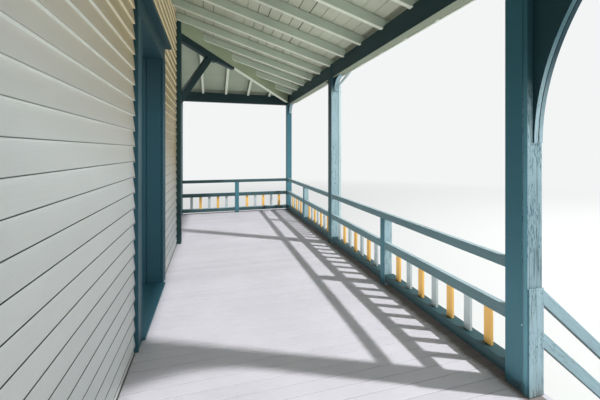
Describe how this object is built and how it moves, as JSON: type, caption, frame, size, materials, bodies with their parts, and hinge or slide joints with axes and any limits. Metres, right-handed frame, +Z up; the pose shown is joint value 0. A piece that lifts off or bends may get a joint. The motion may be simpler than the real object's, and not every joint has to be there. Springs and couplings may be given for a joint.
{
  "type": "front porch",
  "caption": "Covered timber front porch on piers with a hipped roof, posts, railings, a wide stair and the doorway wall of the house behind it.",
  "frame": {"origin": "bottom centre of the porch's box, on the ground, midway along the front", "axes": "+X to the right along the front as seen by someone facing the house, +Y towards the house, +Z up"},
  "size_m": [10.0836, 3.572, 4.671],
  "materials": {
    "siding": "cream paint on lap siding",
    "trim": "weathered teal paint",
    "rails": "weathered blue-green paint",
    "yellow": "ochre yellow paint",
    "pale": "pale blue-white paint",
    "floor": "worn grey floor paint",
    "rafters": "pale green-cream paint",
    "timber": "bare sawn timber",
    "masonry": "rough masonry",
    "shingles": "mineral-faced shingles",
    "gutter": "white baked paint"
  },
  "bodies": {
    "root": {"wall_left": "siding", "wall_right": "siding", "wall_over_door": "siding", "corner_boards": "trim", "corner_returns": "trim", "door_lining_sides": "trim", "door_lining_head": "trim", "door_casing_sides": "trim", "door_casing_head": "trim", "door_casing_cap": "trim", "door_threshold": "trim", "corner_post_left": "trim", "stair_post": "trim", "middle_post": "trim", "corner_post_right": "trim", "end_post_left": "trim", "end_post_right": "trim", "front_beams": "trim", "end_beams": "trim", "arch_brackets": "trim", "small_brackets": "trim", "hip_bracket_arms": "trim", "hip_bracket_braces": "trim", "fascia_front": "trim", "fascia_ends": "trim", "stair_newels": "trim", "rails_door_bay": "rails", "rails_right_bay": "rails", "rails_ends": "rails", "rail_posts": "rails", "stair_handrails": "rails", "rim_front": "rails", "rim_ends": "rails", "stair_risers": "rails", "balusters_yellow": "yellow", "balusters_white": "pale", "floor_middle": "floor", "floor_ends": "floor", "stair_treads": "floor", "rafters_front": "rafters", "rafters_ends": "rafters", "hip_rafters": "rafters", "roof_boards_front": "rafters", "roof_boards_ends": "rafters", "joists": "timber", "girders": "timber", "stair_stringers": "timber", "foundation_wall": "masonry", "piers": "masonry", "roofing_front": "shingles", "roofing_ends": "shingles", "gutter_front": "gutter", "gutter_ends": "gutter", "downspout": "gutter", "downspout_offset": "gutter"}
  },
  "joints": []
}
